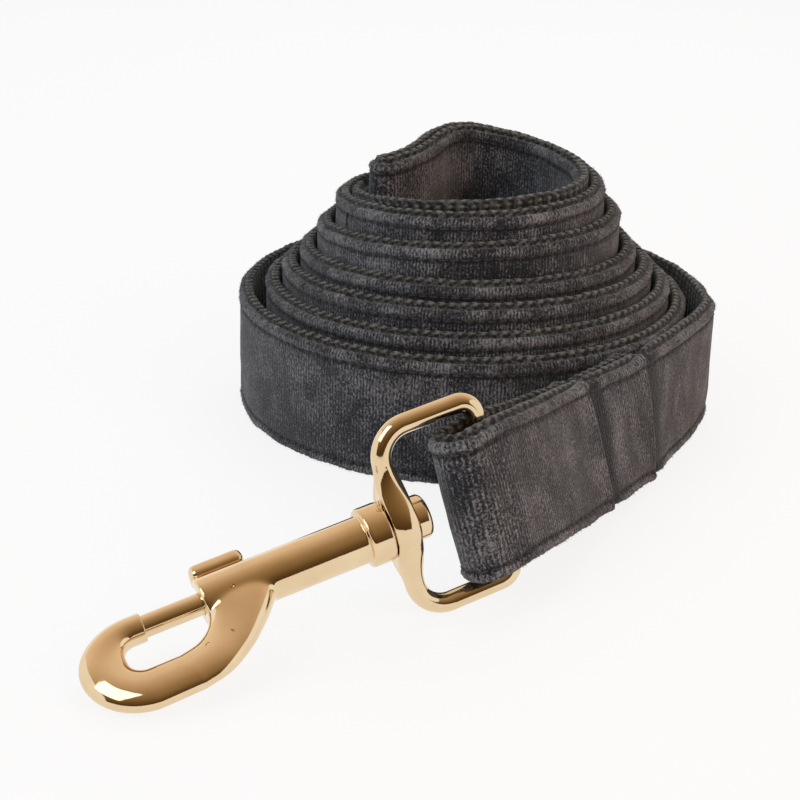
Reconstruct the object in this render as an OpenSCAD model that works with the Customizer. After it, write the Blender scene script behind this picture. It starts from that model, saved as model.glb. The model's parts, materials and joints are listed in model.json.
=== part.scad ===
// Velvet-faced webbing lead, rolled up for storage, with a swivel-eye bolt snap.
// Millimetres, +Z up. The coil stands on its edge on the plane z = 0.

/* [Strap] */
// Width of the strap
strap_w = 25; // [20:0.5:30]
// Thickness of the woven webbing
webbing_t = 1.7; // [1.2:0.1:2.2]
// Thickness of the velvet facing
velvet_t = 1.1; // [0.6:0.1:1.6]
// Radius of the rounded hem along both edges
hem_r = 0.7; // [0.3:0.1:0.9]
// Gap between two layers that are sewn together
layer_gap = 0.5; // [0.45:0.05:0.9]

/* [Coil] */
// Outer radius at the start of the spiral
coil_r = 24.3; // [23:0.1:30]
// Gap between neighbouring turns
turn_gap = 0.75; // [0.6:0.05:1.4]
// How far the last turn opens out
end_opening = 2; // [1.2:0.1:5]
// How much higher the turns stand at the front than at the back
front_rise = 1.6; // [0:0.1:3]
// Turn at which the end of the hand loop is sewn down
handle_end = 1.05; // [0.8:0.01:1.06]

/* [Sewing] */
// Thickness of the sewing thread
thread_t = 0.5; // [0.3:0.05:0.8]
// Length of one stitch
stitch_l = 2.4; // [1.5:0.1:4]
// Distance from one stitch to the next
stitch_pitch = 2.9; // [2.6:0.1:5]
// Plain width left along each edge
stitch_margin = 1.6; // [1:0.1:4]

/* [Snap pose] */
// Turn of the snap about the upright, from the -X axis towards the front
snap_turn = 25; // [18:0.5:32]
// Dip of the snap's nose
snap_dip = 12.2; // [10:0.1:15]
// Roll of the eye about the barrel
eye_roll = -11; // [-15:0.5:-7]
// Roll of the hook about the barrel
hook_roll = 14.5; // [8:0.5:20]

/* [Swivel eye] */
// Diameter of the eye's wire
wire_d = 3.3; // [2.4:0.1:3.8]
// Room between the strap's edge and each arm of the eye
eye_room = 1.3; // [1:0.05:1.8]
// Distance from the hub's middle to the bar
eye_depth = 16.9; // [15:0.1:20]
// Bend radius of the eye beside the hub
hub_bend = 5.2; // [4:0.1:8]
// Bend radius of the eye beside the bar
bar_bend = 2.6; // [2.2:0.1:4]
// Thickness of the hub along the barrel
hub_t = 4.2; // [3.4:0.1:5]
// Width of the hub's boss
hub_d = 9.4; // [8:0.1:12]

/* [Swivel pin] */
// Diameter of the pin's shank
pin_d = 4; // [3:0.1:5]
// Diameter of the pin's button head
pin_head_d = 7.2; // [5.4:0.1:8]
// Height of the pin's button head
pin_head_t = 2.3; // [1.5:0.1:2.6]

/* [Hook body] */
// Diameter of the barrel
barrel_d = 7.7; // [7:0.1:9]
// Diameter of the collar at the rear of the barrel
collar_d = 9.7; // [9:0.1:12]
// Length of the collar
collar_l = 3.9; // [2:0.1:6]
// Distance from the hub's middle to the barrel's mouth
barrel_end = 33.4; // [32.5:0.1:35]
// Gap between the barrel's mouth and the nose
throat = 9.9; // [9:0.1:11]
// Diameter of the nose
nose_d = 4.6; // [4.4:0.1:5]
// Length of the nose before the hook's end bends round
nose_l = 1.8; // [1.4:0.1:3]
// Width of the bar at the hook's end
crook_w = 5.8; // [5:0.1:6.4]
// Thickness of the bar at the hook's end
crook_t = 4.6; // [4:0.1:5]
// Reach of the hook's belly from the barrel's axis
belly = 14.7; // [14:0.1:16]
// Width of the belly
belly_w = 6.8; // [6:0.1:7.4]
// Thickness of the belly
belly_t = 4.9; // [4:0.1:5.4]

/* [Bolt] */
// Diameter of the bolt
bolt_d = 3.5; // [3.2:0.1:4]
// Length of the bolt inside the barrel when closed
bolt_in = 11; // [10:0.1:11.5]
// Travel of the bolt
bolt_travel = 8.5; // [7:0.1:8.6]
// Diameter of the thumb stud's stem
stem_d = 2.2; // [1.6:0.1:2.6]
// Length of the thumb stud's tab
tab_l = 8.6; // [6:0.1:10]
// Width of the thumb stud's tab
tab_w = 3.4; // [2.6:0.1:5]
// Height of the thumb stud's tab
tab_h = 2.7; // [2.4:0.1:4.5]

/* [Spring] */
// Wire of the bolt spring
spring_wire = 0.45; // [0.3:0.05:0.5]
// Number of curls of the bolt spring
spring_curls = 9; // [6:1:9]

/* [Clearances] */
// Radial clearance of pins and bolt in their bores
run_clear = 0.1; // [0.05:0.01:0.1]
// Gap between pieces that move past each other
slide_gap = 0.3; // [0.25:0.05:0.5]

/* [Hidden] */
$fn = 64;

// The reference point is the middle of the lead's outline, on the floor
origin = [-4.87, -37.59, 0];

strap_t = webbing_t + velvet_t;
turn_pitch = strap_t + turn_gap;
turn_steps = 24;
coil_end = 6.5;
// Where the last turn starts to open out, and over how much of a turn it does so
opening_from = 5.7;
opening_run = 0.35;
handle_start = 0.25;
layer_off = (strap_t + layer_gap) / 2;
half_w = strap_w / 2;

// Height of the strap's lower edge at each half turn, from the centre outwards
turn_lift = [33, 23.4, 19.6, 18, 14, 10.8, 9, 7.4, 5.6, 3.9, 2.2, 0.6, 0, 0, 0];
// How much higher the inner layer of the hand loop stands at the front
inner_rise = 1.8;
// Turns over which the rise at the front fades out
rise_fade = 5.2;

// Middle line of the hand loop's two layers, from the back of the coil to the closed fold,
// with the height of the lower edge
fold_route = [[-4.6, 20.4, 28.4], [-7.7, 17, 27.8], [-9.7, 12.9, 27.2], [-12.1, 8.7, 26.6],
    [-15.2, 5.4, 26], [-18.2, 3.2, 25.6]];

// Run of the strap from the coil's end to the snap, measured from the coil's end:
// place of the middle of the strap, and the share of the eye's lean it has taken up
end_route = [[-1.4, -6, 0.1, 0], [-3.6, -12.4, 0.2, 0.05], [-7.4, -20.4, 0.3, 0.18],
    [-12.4, -29.4, 0.3, 0.34], [-17.8, -39, 0.5, 0.52], [-23.4, -48, 1.1, 0.75],
    [-28.8, -56.2, 1.8, 0.94], [-34.6, -65.6, 3.2, 1], [-40.8, -75.6, 4.9, 1], [-46.6, -84.7, 6.3, 1]];
// Stations of end_route that carry the two cross seams, and the tail's length past the seam
seam_near = 7;
seam_far = 5;
// Heading of the fold beyond the bar, from the -X axis towards the front
fold_turn = 42;
// Distance of the fold's centre beyond the bar
fold_ahead = 4.4;
// How far the eye's middle stands above the strap's
eye_lift = 0.5;
route_steps = 3;
fold_steps = 6;

// Vectors
function unit(v) = v / norm(v);
function flat(v) = [v[0], v[1], 0];
function turned(v) = [v[1], -v[0], 0];
function ease(x) = let (t = min(1, max(0, x))) t * t * (3 - 2 * t);
// A smooth value between the entries of a list
function pick(list, i) = list[min(len(list) - 1, max(0, i))];
function spline(a, b, c, d, t) =
    b + (c - a) * t / 2 + (2 * a - 5 * b + 4 * c - d) * t * t / 2 + (3 * b - a - 3 * c + d) * t * t * t / 2;
function along(list, x) = let (i = floor(x))
    spline(pick(list, i - 1), pick(list, i), pick(list, i + 1), pick(list, i + 2), x - i);
function smooth(list, steps) =
    [for (i = [0:len(list) - 2], k = [0:steps - 1]) along(list, i + k / steps), list[len(list) - 1]];
function reversed(list) = [for (i = [len(list) - 1:-1:0]) list[i]];
function heading(list, i) = unit(pick(list, i + 1) - pick(list, i - 1));

// The spiral, by turns from the centre: 0 is at the left, 0.25 at the back
function radial(turn) = [cos(180 - 360 * turn), sin(180 - 360 * turn), 0];
function outer_r(turn) = coil_r + turn_pitch * turn + end_opening * ease((turn - opening_from) / opening_run);
function lift(turn) = max(0, along(turn_lift, 2 * turn))
    + front_rise * max(0, -radial(turn)[1]) * ease(rise_fade - turn);
function inner_lift(turn) =
    lift(turn) + inner_rise * sin(180 * (turn - handle_start) / (handle_end - handle_start));

// A station is the strap's middle point, the way its velvet faces, and its upward direction
up = [0, 0, 1];
function station(p, z, n) = [flat(p) + up * (z + half_w), n, up];
function turn_stop(turn) =
    station(radial(turn) * (outer_r(turn) - strap_t / 2), lift(turn), radial(turn));
function inner_stop(turn) =
    station(radial(turn) * (outer_r(turn) - strap_t / 2 - 2 * layer_off), inner_lift(turn), -radial(turn));

// Hand loop: both layers follow one middle line and join in the closed fold
fold_from = radial(handle_start) * (outer_r(handle_start) - strap_t - layer_gap / 2);
fold_line = smooth(concat([flat(fold_from) + up * lift(handle_start)], fold_route), route_steps);
fold_last = len(fold_line) - 1;
function fold_normal(i) = unit(turned(heading(fold_line, i)));
function fold_stop(i, side) = let (n = side * fold_normal(i))
    station(fold_line[i] + layer_off * n, fold_line[i][2], n);
function fold_round(a) = let (f = unit(flat(heading(fold_line, fold_last))), n = fold_normal(fold_last),
    d = n * cos(a) + f * sin(a)) station(fold_line[fold_last] + layer_off * d, fold_line[fold_last][2], d);
coil_stops = concat(
    [for (k = [coil_end * turn_steps:-1:handle_start * turn_steps]) turn_stop(k / turn_steps)],
    [for (i = [1:fold_last]) fold_stop(i, 1)],
    [for (k = [1:fold_steps - 1]) fold_round(180 * k / fold_steps)],
    [for (i = [fold_last:-1:1]) fold_stop(i, -1)],
    [for (k = [handle_start * turn_steps:turn_steps * handle_end]) inner_stop(k / turn_steps)],
    [inner_stop(handle_end)]);

// Directions of the snap: along the barrel, level across it, and square to both
snap_x = [-cos(snap_turn) * cos(snap_dip), -sin(snap_turn) * cos(snap_dip), -sin(snap_dip)];
snap_y = [sin(snap_turn), -cos(snap_turn), 0];
snap_z = cross(snap_x, snap_y);
eye_z = cos(eye_roll) * snap_z + sin(eye_roll) * snap_y;
eye_y = cross(eye_z, snap_x);
hook_y = cos(hook_roll) * snap_y - sin(hook_roll) * snap_z;
hook_z = cross(snap_x, hook_y);

// Strap end: the two layers part round the eye's bar and close again towards the seams
bar_off = wire_d / 2 + slide_gap + strap_t / 2;
end_from = radial(coil_end) * (outer_r(coil_end) - strap_t / 2);
function end_point(p) = [end_from[0] + p[0], end_from[1] + p[1], half_w + p[2]];
end_axis = smooth(concat([[-layer_off, 0, 0, 0]], end_route), route_steps);
loop_at = end_point(end_route[len(end_route) - 1]);
bar_at = loop_at + eye_lift * eye_z;
end_pts = [for (p = end_axis) end_point(p)];
end_last = len(end_pts) - 1;
function leaning(k) = unit(up * (1 - k) + eye_z * k);
function end_up(i) = leaning(end_axis[i][3]);
function end_way(i) = i == end_last ? unit(heading(end_pts, i) + fold_dir) : heading(end_pts, i);
function end_normal(i) = i == 0 ? radial(coil_end) : unit(cross(end_up(i), end_way(i)));
function end_off(i) = layer_off
    + (bar_off - layer_off) * ease((i - seam_near * route_steps) / (end_last - 2 - seam_near * route_steps));
function end_stop(i, side) = let (n = side * end_normal(i)) [end_pts[i] + end_off(i) * n, n, end_up(i)];
fold_dir = let (d = [-cos(fold_turn), -sin(fold_turn), 0]) unit(d - (d * eye_z) * eye_z);
fold_side = cross(eye_z, fold_dir);
fold_at = loop_at + fold_ahead * fold_dir;
function end_round(a) = let (d = fold_side * cos(a) + fold_dir * sin(a)) [fold_at + bar_off * d, d, eye_z];
tail_from = seam_far * route_steps - 1;
end_stops = concat(
    [for (i = [0:end_last]) end_stop(i, 1)],
    [for (k = [0:fold_steps]) end_round(180 * k / fold_steps)],
    [for (i = [end_last:-1:tail_from]) end_stop(i, -1)]);

// Cross-sections: place across the thickness, and height above the strap's middle.
// The velvet and the webbing meet on the face between them.
seam_face = webbing_t - strap_t / 2;
webbing_section = [[seam_face, half_w], [seam_face, -half_w], [seam_face - webbing_t / 2, -half_w],
    [-strap_t / 2, hem_r - half_w], [-strap_t / 2, half_w - hem_r], [seam_face - webbing_t / 2, half_w]];
velvet_section = [[seam_face, -half_w], [seam_face, half_w], [seam_face + velvet_t / 2, half_w],
    [strap_t / 2, half_w - hem_r], [strap_t / 2, hem_r - half_w], [seam_face + velvet_t / 2, -half_w]];

// A solid skin over sections of six points
function ring(stop, section) = [for (s = section) stop[0] + stop[1] * s[0] + stop[2] * s[1]];
module skin(rings, flip) {
    m = len(rings[0]);
    last = (len(rings) - 1) * m;
    sides = [for (i = [0:len(rings) - 2], j = [0:m - 1])
        let (a = i * m + j, b = i * m + (j + 1) % m, c = b + m, d = a + m)
        each flip ? [[a, b, d], [b, c, d]] : [[a, b, c], [a, c, d]]];
    ends = [for (j = [1:m - 2]) each [[0, j + 1, j], [last, last + j, last + j + 1]]];
    polyhedron([for (r = rings) each r], concat(sides, ends));
}

module strap_layer(stops, section, flip) {
    skin([for (s = stops) ring(s, section)], flip);
}

// Least distance in plan between the wound strap's faces, away from each stop's own neighbours
function plan_gap(a, b) = norm(flat(a[0] - b[0])) - strap_t;
near_stops = 8;
least_gap = min([for (i = [0:len(coil_stops) - 1 - near_stops])
    min([for (j = [i + near_stops:len(coil_stops) - 1]) plan_gap(coil_stops[i], coil_stops[j])])]);
echo(str("Least gap of the wound strap to itself: ", least_gap, " mm"));

module place(x, y, z, at) {
    multmatrix([[x[0], y[0], z[0], at[0]], [x[1], y[1], z[1], at[1]], [x[2], y[2], z[2], at[2]],
        [0, 0, 0, 1]]) children();
}

module coil_webbing() {
    color([0.22, 0.23, 0.22]) strap_layer(reversed(coil_stops), webbing_section, false);
}

module coil_velvet() {
    color([0.33, 0.32, 0.34]) strap_layer(reversed(coil_stops), velvet_section, true);
}

module hook_end_webbing() {
    color([0.22, 0.23, 0.22]) strap_layer(end_stops, webbing_section, false);
}

module hook_end_velvet() {
    color([0.36, 0.34, 0.35]) strap_layer(end_stops, velvet_section, true);
}

// A row of stitches across the strap, each a loop of thread round both layers
module seam(at, n, z) {
    reach = strap_t + layer_gap / 2;
    count = floor((strap_w - 2 * stitch_margin - stitch_l) / stitch_pitch) + 1;
    row = (count - 1) * stitch_pitch;
    place(n, cross(z, n), z, at)
        for (k = [0:count - 1]) translate([0, 0, k * stitch_pitch - row / 2]) difference() {
            cube([2 * (reach + thread_t), thread_t, stitch_l], center = true);
            cube([2 * reach, 2 * thread_t, stitch_l - 2 * thread_t], center = true);
        }
}

module hook_end_stitches() {
    color([0.2, 0.2, 0.21]) for (i = [seam_near, seam_far] * route_steps)
        seam(end_pts[i], end_normal(i), end_up(i));
}

// Turns at which the hand loop's end is sewn down
handle_seams = [handle_end - 0.02, handle_end - 0.12];

module handle_stitches() {
    color([0.2, 0.2, 0.21]) for (t = handle_seams)
        seam(radial(t) * (outer_r(t) - strap_t - layer_gap / 2) + up * (lift(t) + half_w), radial(t), up);
}

// The snap is drawn along +X from the hub's middle, with the hook's belly towards +Y
hub_at = bar_at + eye_depth * snap_x;
module in_eye() { place(snap_x, eye_y, eye_z, hub_at) children(); }
module in_hook() { place(snap_x, hook_y, hook_z, hub_at) children(); }
module rod(d, from, to) { translate([from, 0, 0]) rotate([0, 90, 0]) cylinder(d = d, h = to - from); }

arm_at = half_w + eye_room + wire_d / 2;
collar_from = hub_t / 2 + slide_gap;
nose_from = barrel_end + throat;

// A quarter bend of the eye's wire, from the +Z arm to the -X arm
module eye_bend(r) {
    rotate([90, 0, 0]) rotate_extrude(angle = 90, $fn = 40) translate([r, 0]) circle(d = wire_d, $fn = 32);
}

// The hub swells out of the wire as a spindle, with flat faces square to the barrel
hub_end = arm_at - hub_bend;
hub_steps = 6;
function hub_r(share) = wire_d / 2 + (hub_d - wire_d) / 4 * (1 + cos(180 * share));
module hub() {
    intersection() {
        rotate_extrude($fn = 40) polygon([[0, -hub_end],
            for (k = [-hub_steps:hub_steps]) [hub_r(k / hub_steps), hub_end * k / hub_steps], [0, hub_end]]);
        cube([hub_t, 2 * hub_d, 3 * hub_end], center = true);
    }
}

module eye_half() {
    translate([-hub_bend, 0, hub_end]) eye_bend(hub_bend);
    translate([bar_bend - eye_depth, 0, arm_at - bar_bend]) rotate([0, -90, 0]) eye_bend(bar_bend);
    translate([0, 0, arm_at]) rod(wire_d, bar_bend - eye_depth, -hub_bend);
    translate([-eye_depth, 0, 0]) cylinder(d = wire_d, h = arm_at - bar_bend);
}

module swivel_eye() {
    color([0.84, 0.68, 0.42]) in_eye() difference() {
        union() {
            eye_half();
            mirror([0, 0, 1]) eye_half();
            hub();
        }
        rod(pin_d + 2 * run_clear, -hub_t, hub_t);
    }
}

pin_in = collar_l + 2;
module swivel_pin() {
    color([0.86, 0.7, 0.45]) in_hook() {
        rod(pin_d, -collar_from, collar_from + pin_in);
        translate([-collar_from, 0, 0]) rotate([0, -90, 0]) rotate_extrude() difference() {
            square([pin_head_d / 2, pin_head_t]);
            translate([pin_head_d / 2 - hem_r, pin_head_t - hem_r]) difference() {
                square(2 * hem_r);
                circle(r = hem_r);
            }
        }
    }
}

// The hook is one bar that leaves the barrel as a broad neck and bends round to the nose.
// Rear and front edge of the neck: distance from the barrel's mouth, and share of the belly's reach
neck_route = [[-10.8, 0.2, -1.9, -0.07], [-8.6, 0.37, -1, 0.14], [-5.6, 0.57, 0, 0.245], [-2.4, 0.76, 1.6, 0.355],
    [1.6, 0.92, 4.2, 0.46], [5.6, 0.99, 6.8, 0.52]];
bend_r = (belly - belly_w / 2) / 2;
bend_at = [nose_from + nose_l, bend_r, 0];
bend_steps = 12;
function mix(a, b, share) = a + (b - a) * share;
// A section of the bar is its middle, half its width towards the outer edge, and half its thickness
function neck_section(k) = let (n = along(neck_route, k),
    rear = [barrel_end + n[0], belly * n[1], 0], front = [barrel_end + n[2], belly * n[3], 0])
    [(rear + front) / 2, (rear - front) / 2, mix(0.97 * barrel_d, belly_t, ease(k / len(neck_route))) / 2];
// The bend by its share: 0 at the belly, 0.5 at the hook's end, 1 at the nose
function bend_size(share, belly_size, crook_size) =
    share < 0.5 ? mix(belly_size, crook_size, ease(2 * share)) : mix(crook_size, nose_d, ease(2 * share - 1));
function bend_section(share) = let (a = 90 - 180 * share, d = [cos(a), sin(a), 0])
    [bend_at + bend_r * d, d * bend_size(share, belly_w, crook_w) / 2, bend_size(share, belly_t, crook_t) / 2];
hook_sections = concat(
    [for (i = [0:(len(neck_route) - 1) * route_steps]) neck_section(i / route_steps)],
    [for (k = [0:bend_steps]) bend_section(k / bend_steps)],
    [[[nose_from, 0, 0], [0, -nose_d / 2, 0], nose_d / 2]]);
// Each section is an oval with slightly flattened faces
section_points = 16;
flatness = 0.88;
function rounded(v) = sign(v) * pow(abs(v), flatness);
function oval(t, square) = square ? [rounded(cos(t)), rounded(sin(t))] : [cos(t), sin(t)];
module hook_bar() {
    last = len(hook_sections) - 1;
    skin([for (i = [0:last]) let (s = hook_sections[i])
        [for (k = [0:section_points - 1]) let (o = oval(-360 * k / section_points, i < last - 2))
            s[0] + s[1] * o[0] + [0, 0, s[2] * o[1]]]], true);
}

bolt_bore = bolt_d + 2 * run_clear;
bore_from = collar_from + pin_in + 0.5;
stem_at = barrel_end - stem_d / 2 - slide_gap;
seat_deep = 1;
bolt_tip = nose_from + seat_deep - slide_gap;
module hook_body() {
    slot_w = stem_d + 2 * slide_gap;
    slot_from = stem_at - bolt_travel;
    color([0.84, 0.68, 0.42]) in_hook() difference() {
        union() {
            rod(collar_d, collar_from, collar_from + collar_l);
            rod(barrel_d, collar_from, barrel_end);
            hook_bar();
        }
        rod(pin_d, 0, collar_from + pin_in);
        rod(bolt_bore, bore_from, nose_from + seat_deep);
        // Slot for the thumb stud's stem, open at the barrel's mouth
        translate([slot_from, -barrel_d, -slot_w / 2]) cube([barrel_end - slot_from + slide_gap, barrel_d, slot_w]);
        translate([slot_from, 0, 0]) rotate([90, 0, 0]) cylinder(d = slot_w, h = barrel_d);
    }
}

bolt_from = barrel_end - bolt_in;
spigot_d = 2.2;
spigot_l = 2.5;
module bolt() {
    color([0.88, 0.73, 0.48]) in_hook() difference() {
        union() {
            rod(bolt_d, bolt_from, bolt_tip - hem_r);
            translate([bolt_tip - hem_r, 0, 0]) rotate([0, 90, 0])
                cylinder(d1 = bolt_d, d2 = bolt_d - 2 * hem_r, h = hem_r);
            rod(spigot_d, bolt_from - spigot_l, bolt_from);
        }
        translate([stem_at, 0, 0]) rotate([90, 0, 0]) cylinder(d = stem_d, h = bolt_d);
    }
}

// Thumb stud: a round stem in the bolt and a tab lying back along the barrel
module thumb_stud() {
    tab_from = barrel_d / 2 + slide_gap;
    tab_front = stem_at + tab_w / 2;
    tab_r = tab_h / 2;
    color([0.86, 0.7, 0.45]) in_hook() {
        translate([stem_at, 0, 0]) rotate([90, 0, 0]) cylinder(d = stem_d, h = tab_from + hem_r);
        translate([0, 0, -tab_w / 2]) linear_extrude(tab_w) {
            for (x = [tab_front - tab_r, tab_front - tab_l + tab_r])
                translate([x, -tab_from - tab_r]) circle(r = tab_r);
            translate([tab_front - tab_l + tab_r, -tab_from - tab_h]) square([tab_l - 2 * tab_r, tab_h]);
        }
    }
}

// Compression spring behind the bolt, an unbroken helix
spring_sides = 6;
spring_rings = 8;
spring_r = (bolt_bore - spring_wire) / 2 - slide_gap / 2;
module bolt_spring() {
    from = bore_from + spring_wire;
    to = bolt_from - spring_wire;
    count = spring_curls * spring_rings;
    color([0.6, 0.6, 0.62]) in_hook() skin([for (k = [0:count])
        let (a = 360 * k / spring_rings, x = from + (to - from) * k / count, r = [0, cos(a), sin(a)])
        [for (s = [0:spring_sides - 1]) let (t = 360 * s / spring_sides)
            [x, 0, 0] + r * (spring_r + spring_wire / 2 * cos(t)) + [spring_wire / 2 * sin(t), 0, 0]]], false);
}

module stand() { translate(-origin) children(); }

stand() coil_webbing();
stand() coil_velvet();
stand() hook_end_webbing();
stand() hook_end_velvet();
stand() hook_end_stitches();
stand() handle_stitches();
stand() swivel_eye();
stand() swivel_pin();
stand() hook_body();
stand() bolt();
stand() thumb_stud();
stand() bolt_spring();
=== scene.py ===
# A velvet-faced lead, rolled up on its edge, with a gold swivel bolt snap
import json
import math
import bpy
import numpy as np
from mathutils import Matrix, Vector


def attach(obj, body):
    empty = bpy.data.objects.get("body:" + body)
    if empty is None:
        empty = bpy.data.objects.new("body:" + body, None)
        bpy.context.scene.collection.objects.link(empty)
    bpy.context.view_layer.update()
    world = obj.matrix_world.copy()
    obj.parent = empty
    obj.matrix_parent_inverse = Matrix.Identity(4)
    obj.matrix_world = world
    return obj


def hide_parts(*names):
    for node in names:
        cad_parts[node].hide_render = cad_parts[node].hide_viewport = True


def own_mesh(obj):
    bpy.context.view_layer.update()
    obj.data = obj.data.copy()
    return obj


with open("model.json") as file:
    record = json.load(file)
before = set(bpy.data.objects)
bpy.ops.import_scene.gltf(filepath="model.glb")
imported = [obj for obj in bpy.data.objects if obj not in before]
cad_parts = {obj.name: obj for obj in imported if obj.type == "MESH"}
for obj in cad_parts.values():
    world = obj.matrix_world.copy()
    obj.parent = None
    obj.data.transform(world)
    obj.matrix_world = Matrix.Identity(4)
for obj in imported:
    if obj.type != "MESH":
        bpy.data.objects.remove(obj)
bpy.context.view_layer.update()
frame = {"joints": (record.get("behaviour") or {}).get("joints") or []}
joints = {joint["name"]: joint for joint in frame["joints"]}
mm = 0.001
tiny = 0.001 * mm
fullTurn = 2 * math.pi
coilMiddle = np.array([4.87, 37.59, 0]) * mm
upright = np.array([0.0, 0.0, 1.0])
oblique = np.array([0.31, 0.77, 0.55])  # a direction that no thread follows


# camera, where the photograph was taken from

view = {
    "place": Vector(coilMiddle) + Vector((-13.93, -323.2, 133.2)) * mm,
    "dip": 22.57,  # degrees below the level
    "roll": 1.25,
    "lens": 74.2,
    "sensor": 36.0,
    "near": 0.01,
}


def addCamera():
    bpy.ops.object.camera_add(location=view["place"])
    camera = bpy.context.object
    camera.name = "photoCamera"
    tilt = Matrix.Rotation(math.radians(90 - view["dip"]), 4, "X")
    roll = Matrix.Rotation(math.radians(view["roll"]), 4, "Z")
    camera.matrix_world = Matrix.Translation(view["place"]) @ tilt @ roll
    camera.data.lens = view["lens"]
    camera.data.sensor_width = view["sensor"]
    camera.data.clip_start = view["near"]
    bpy.context.scene.camera = camera


addCamera()
print("camera set")


# helpers for meshes

def newPiece(name, data):
    piece = bpy.data.objects.new(name, data)
    bpy.context.scene.collection.objects.link(piece)
    return piece


def meshPiece(name, points, faces, edges=()):
    mesh = bpy.data.meshes.new(name)
    mesh.from_pydata(points, edges, faces)
    return newPiece(name, mesh)


def pickOut(*pieces):  # selects only these, with the first one active
    bpy.ops.object.select_all(action="DESELECT")
    for piece in pieces:
        piece.select_set(True)
    if pieces:
        bpy.context.view_layer.objects.active = pieces[0]


def editAll(piece):  # edit mode, with everything selected
    pickOut(piece)
    bpy.ops.object.mode_set(mode="EDIT")
    bpy.ops.mesh.select_all(action="SELECT")


def leaveEdit():
    bpy.ops.object.mode_set(mode="OBJECT")


def turnOutwards(piece):
    editAll(piece)
    bpy.ops.mesh.normals_make_consistent(inside=False)
    leaveEdit()


def smoothed(piece):
    piece.data.shade_smooth()
    turnOutwards(piece)
    return piece


def ringFaces(count, m, closed=False):  # quads between rings of m points, and caps on an open run
    i, j = np.meshgrid(np.arange(count if closed else count - 1), np.arange(m), indexing="ij")
    k, h = (i + 1) % count, (j + 1) % m
    quads = np.stack([i * m + j, i * m + h, k * m + h, k * m + j], -1).reshape(-1, 4)
    caps = [] if closed else [list(range(m))[::-1], [(count - 1) * m + n for n in range(m)]]
    return quads, caps


def layMap(mesh, name, values):
    mesh.uv_layers.new(name=name).data.foreach_set("uv", np.ascontiguousarray(values).ravel())


# the lead's way: tail, fold round the eye, run to the coil, turns inwards, hand loop

lead = {
    "width": 25 * mm,
    "webbing": 1.7 * mm,
    "velvet": 1.1 * mm,
    "layerGap": 0.5 * mm,
    "coilRadius": 24.3 * mm,
    "turnGap": 0.75 * mm,
    "opening": 2 * mm,  # how far the last turn opens out
    "openingFrom": 5.7,
    "openingRun": 0.35,
    "frontRise": 1.6 * mm,
    "riseFade": 5.2,
    "coilEnd": 6.5,
    "loopFrom": 0.25,
    "loopTo": 1.05,
    "innerRise": 1.8 * mm,
    # height of the lower edge at each half turn, from the centre outwards
    "lift": np.array([33, 23.4, 19.6, 18, 14, 10.8, 9, 7.4, 5.6, 3.9, 2.2, 0.6, 0, 0, 0]) * mm,
    # middle line of the hand loop, from the back of the coil to the closed fold
    "foldRoute": np.array([[-4.6, 20.4, 28.4], [-7.7, 17, 27.8], [-9.7, 12.9, 27.2],
                           [-12.1, 8.7, 26.6], [-15.2, 5.4, 26], [-18.2, 3.2, 25.6]]) * mm,
    # run from the coil's end to the snap, from the coil's end
    "endRoute": np.array([[-1.4, -6, 0.1], [-3.6, -12.4, 0.2], [-7.4, -20.4, 0.3], [-12.4, -29.4, 0.3],
                          [-17.8, -39, 0.5], [-23.4, -48, 1.1], [-28.8, -56.2, 1.8],
                          [-34.6, -65.6, 3.2], [-40.8, -75.6, 4.9], [-46.6, -84.7, 6.3]]) * mm,
    # share of the eye's lean that the run has taken up
    "endLean": [0, 0, 0.05, 0.18, 0.34, 0.52, 0.75, 0.94, 1, 1, 1],
    "seams": (5, 7),  # places on the run that carry the cross seams
    "parting": (7, 28 / 3),  # where the layers begin to part for the bar, and where they have
    "tailFrom": 14 / 3,
    "eyeWire": 3.3 * mm,
    "eyeSlack": 0.3 * mm,
    "foldTurn": 42,  # degrees from -X towards the front
    "foldAhead": 4.4 * mm,
    "eyeUp": np.array(joints["eye_pivot"]["axis"]),
    "samples": {"coil": 3000, "inner": 500, "fold": 160, "tip": 40, "end": 301, "bar": 80},
    "step": 0.1 * mm,
    "ease": 0.6 * mm,  # how far the sharp corners of the way are eased
    "floorGap": 0.03 * mm,
}
thick = lead["webbing"] + lead["velvet"]
turnPitch = thick + lead["turnGap"]
halfWidth = lead["width"] / 2
layerOff = (thick + lead["layerGap"]) / 2
barOff = lead["eyeWire"] / 2 + lead["eyeSlack"] + thick / 2


def ease(x):
    t = np.clip(x, 0, 1)
    return t * t * (3 - 2 * t)


def bell(x, width):
    return np.exp(-((x / width) ** 2))


def unit(v):
    return v / np.linalg.norm(v, axis=-1, keepdims=True)


def along(points, x):  # a smooth value between the entries of a list
    p = np.asarray(points, float)
    i = np.clip(np.floor(x).astype(int), 0, len(p) - 1)
    t = (x - i)[:, None] if p.ndim > 1 else x - i
    a, b, c, d = (p[np.clip(i + k, 0, len(p) - 1)] for k in (-1, 0, 1, 2))
    return b + (c - a) * t / 2 + (2 * a - 5 * b + 4 * c - d) * t**2 / 2 + (3 * b - a - 3 * c + d) * t**3 / 2


def radial(turn):  # 0 is at the left, 0.25 at the back
    a = math.pi - fullTurn * np.asarray(turn, float)
    return np.stack([np.cos(a), np.sin(a), 0 * a], -1)


def outerRadius(turn):
    opened = lead["opening"] * ease((turn - lead["openingFrom"]) / lead["openingRun"])
    return lead["coilRadius"] + turnPitch * turn + opened


def lowEdge(turn):
    front = np.maximum(0, -radial(turn)[..., 1])
    fade = ease(lead["riseFade"] - turn)
    return np.maximum(0, along(lead["lift"], 2 * turn)) + lead["frontRise"] * front * fade


def level(flatPoints, height):  # points in plan, with the strap's middle at its height
    return flatPoints * [1, 1, 0] + (height + halfWidth)[:, None] * upright


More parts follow.
